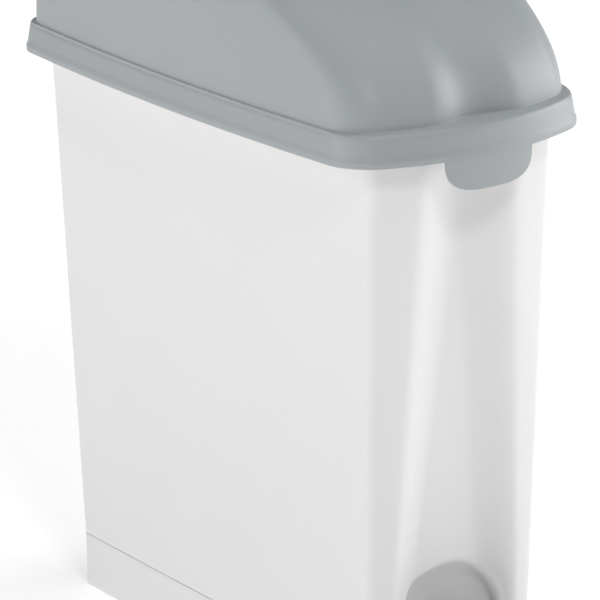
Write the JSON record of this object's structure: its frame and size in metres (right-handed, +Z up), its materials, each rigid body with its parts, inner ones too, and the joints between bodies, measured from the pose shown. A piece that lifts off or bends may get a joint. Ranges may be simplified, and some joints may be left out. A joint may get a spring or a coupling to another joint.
{
  "type": "pedal trash can",
  "caption": "Slim deep step-on waste bin with a fluted tapered body, plinth, inner bucket, push-rod mechanism and domed hinged lid with a front lift tab.",
  "frame": {"origin": "middle of the footprint, on the floor under the feet", "axes": "+Z up, -Y towards the pedal and the lid's lift tab, +X across the bin"},
  "size_m": [0.2086, 0.4338, 0.5334],
  "materials": {
    "white_polypropylene": "satin moulded",
    "grey_polypropylene": "satin moulded",
    "dark_polypropylene": "matte moulded",
    "black_rubber": "matte",
    "zinc_steel": "bright zinc plated"
  },
  "bodies": {
    "bin": {"body_shell": "white_polypropylene", "plinth": "white_polypropylene", "foot_front_left": "black_rubber", "foot_front_right": "black_rubber", "foot_rear_left": "black_rubber", "foot_rear_right": "black_rubber", "base_screw_front_left": "zinc_steel", "base_screw_front_right": "zinc_steel", "base_screw_rear_left": "zinc_steel", "base_screw_rear_right": "zinc_steel", "bearing_cap_left": "dark_polypropylene", "bearing_cap_right": "dark_polypropylene", "lever_axle": "zinc_steel", "rod_guide_1": "dark_polypropylene", "rod_guide_2": "dark_polypropylene", "hinge_pin_left": "zinc_steel", "hinge_pin_right": "zinc_steel"},
    "lid": {"lid_shell": "grey_polypropylene", "lid_bumper_left": "black_rubber", "lid_bumper_right": "black_rubber"},
    "lever": {"pedal_lever": "zinc_steel", "pedal": "grey_polypropylene", "pedal_tread": "black_rubber"},
    "rod": {"push_rod": "zinc_steel", "rod_foot": "dark_polypropylene", "rod_clip": "zinc_steel"},
    "bucket": {"inner_bucket": "dark_polypropylene"},
    "bail": {"bucket_bail": "zinc_steel", "bail_grip": "grey_polypropylene"}
  },
  "joints": [
    {"name": "lid_hinge", "type": "hinge", "parent": "bin", "child": "lid", "pos_m": [0, 0.21144, 0.402], "axis": [-1, 0, 0], "range_deg": [0, 70]},
    {"name": "pedal_pivot", "type": "hinge", "parent": "bin", "child": "lever", "pos_m": [0, 0.00094, 0.036], "axis": [1, 0, 0], "range_deg": [0, 11.41]},
    {"name": "rod_slide", "type": "slide", "parent": "bin", "child": "rod", "axis": [0, 0.0479, 0.9989], "range_m": [0, 0.03362]},
    {"name": "bucket_lift", "type": "slide", "parent": "bin", "child": "bucket", "axis": [0, 0, 1], "range_m": [0, 0.015]},
    {"name": "bail_swing", "type": "hinge", "parent": "bucket", "child": "bail", "pos_m": [0, 0.01094, 0.4068], "axis": [-1, 0, 0], "range_deg": [0, 166]}
  ],
  "couplings": [
    {"joint": "pedal_pivot", "follows": "lid_hinge", "ratio": 0.16287},
    {"joint": "rod_slide", "follows": "lid_hinge", "m_per_rad": 0.02751}
  ]
}
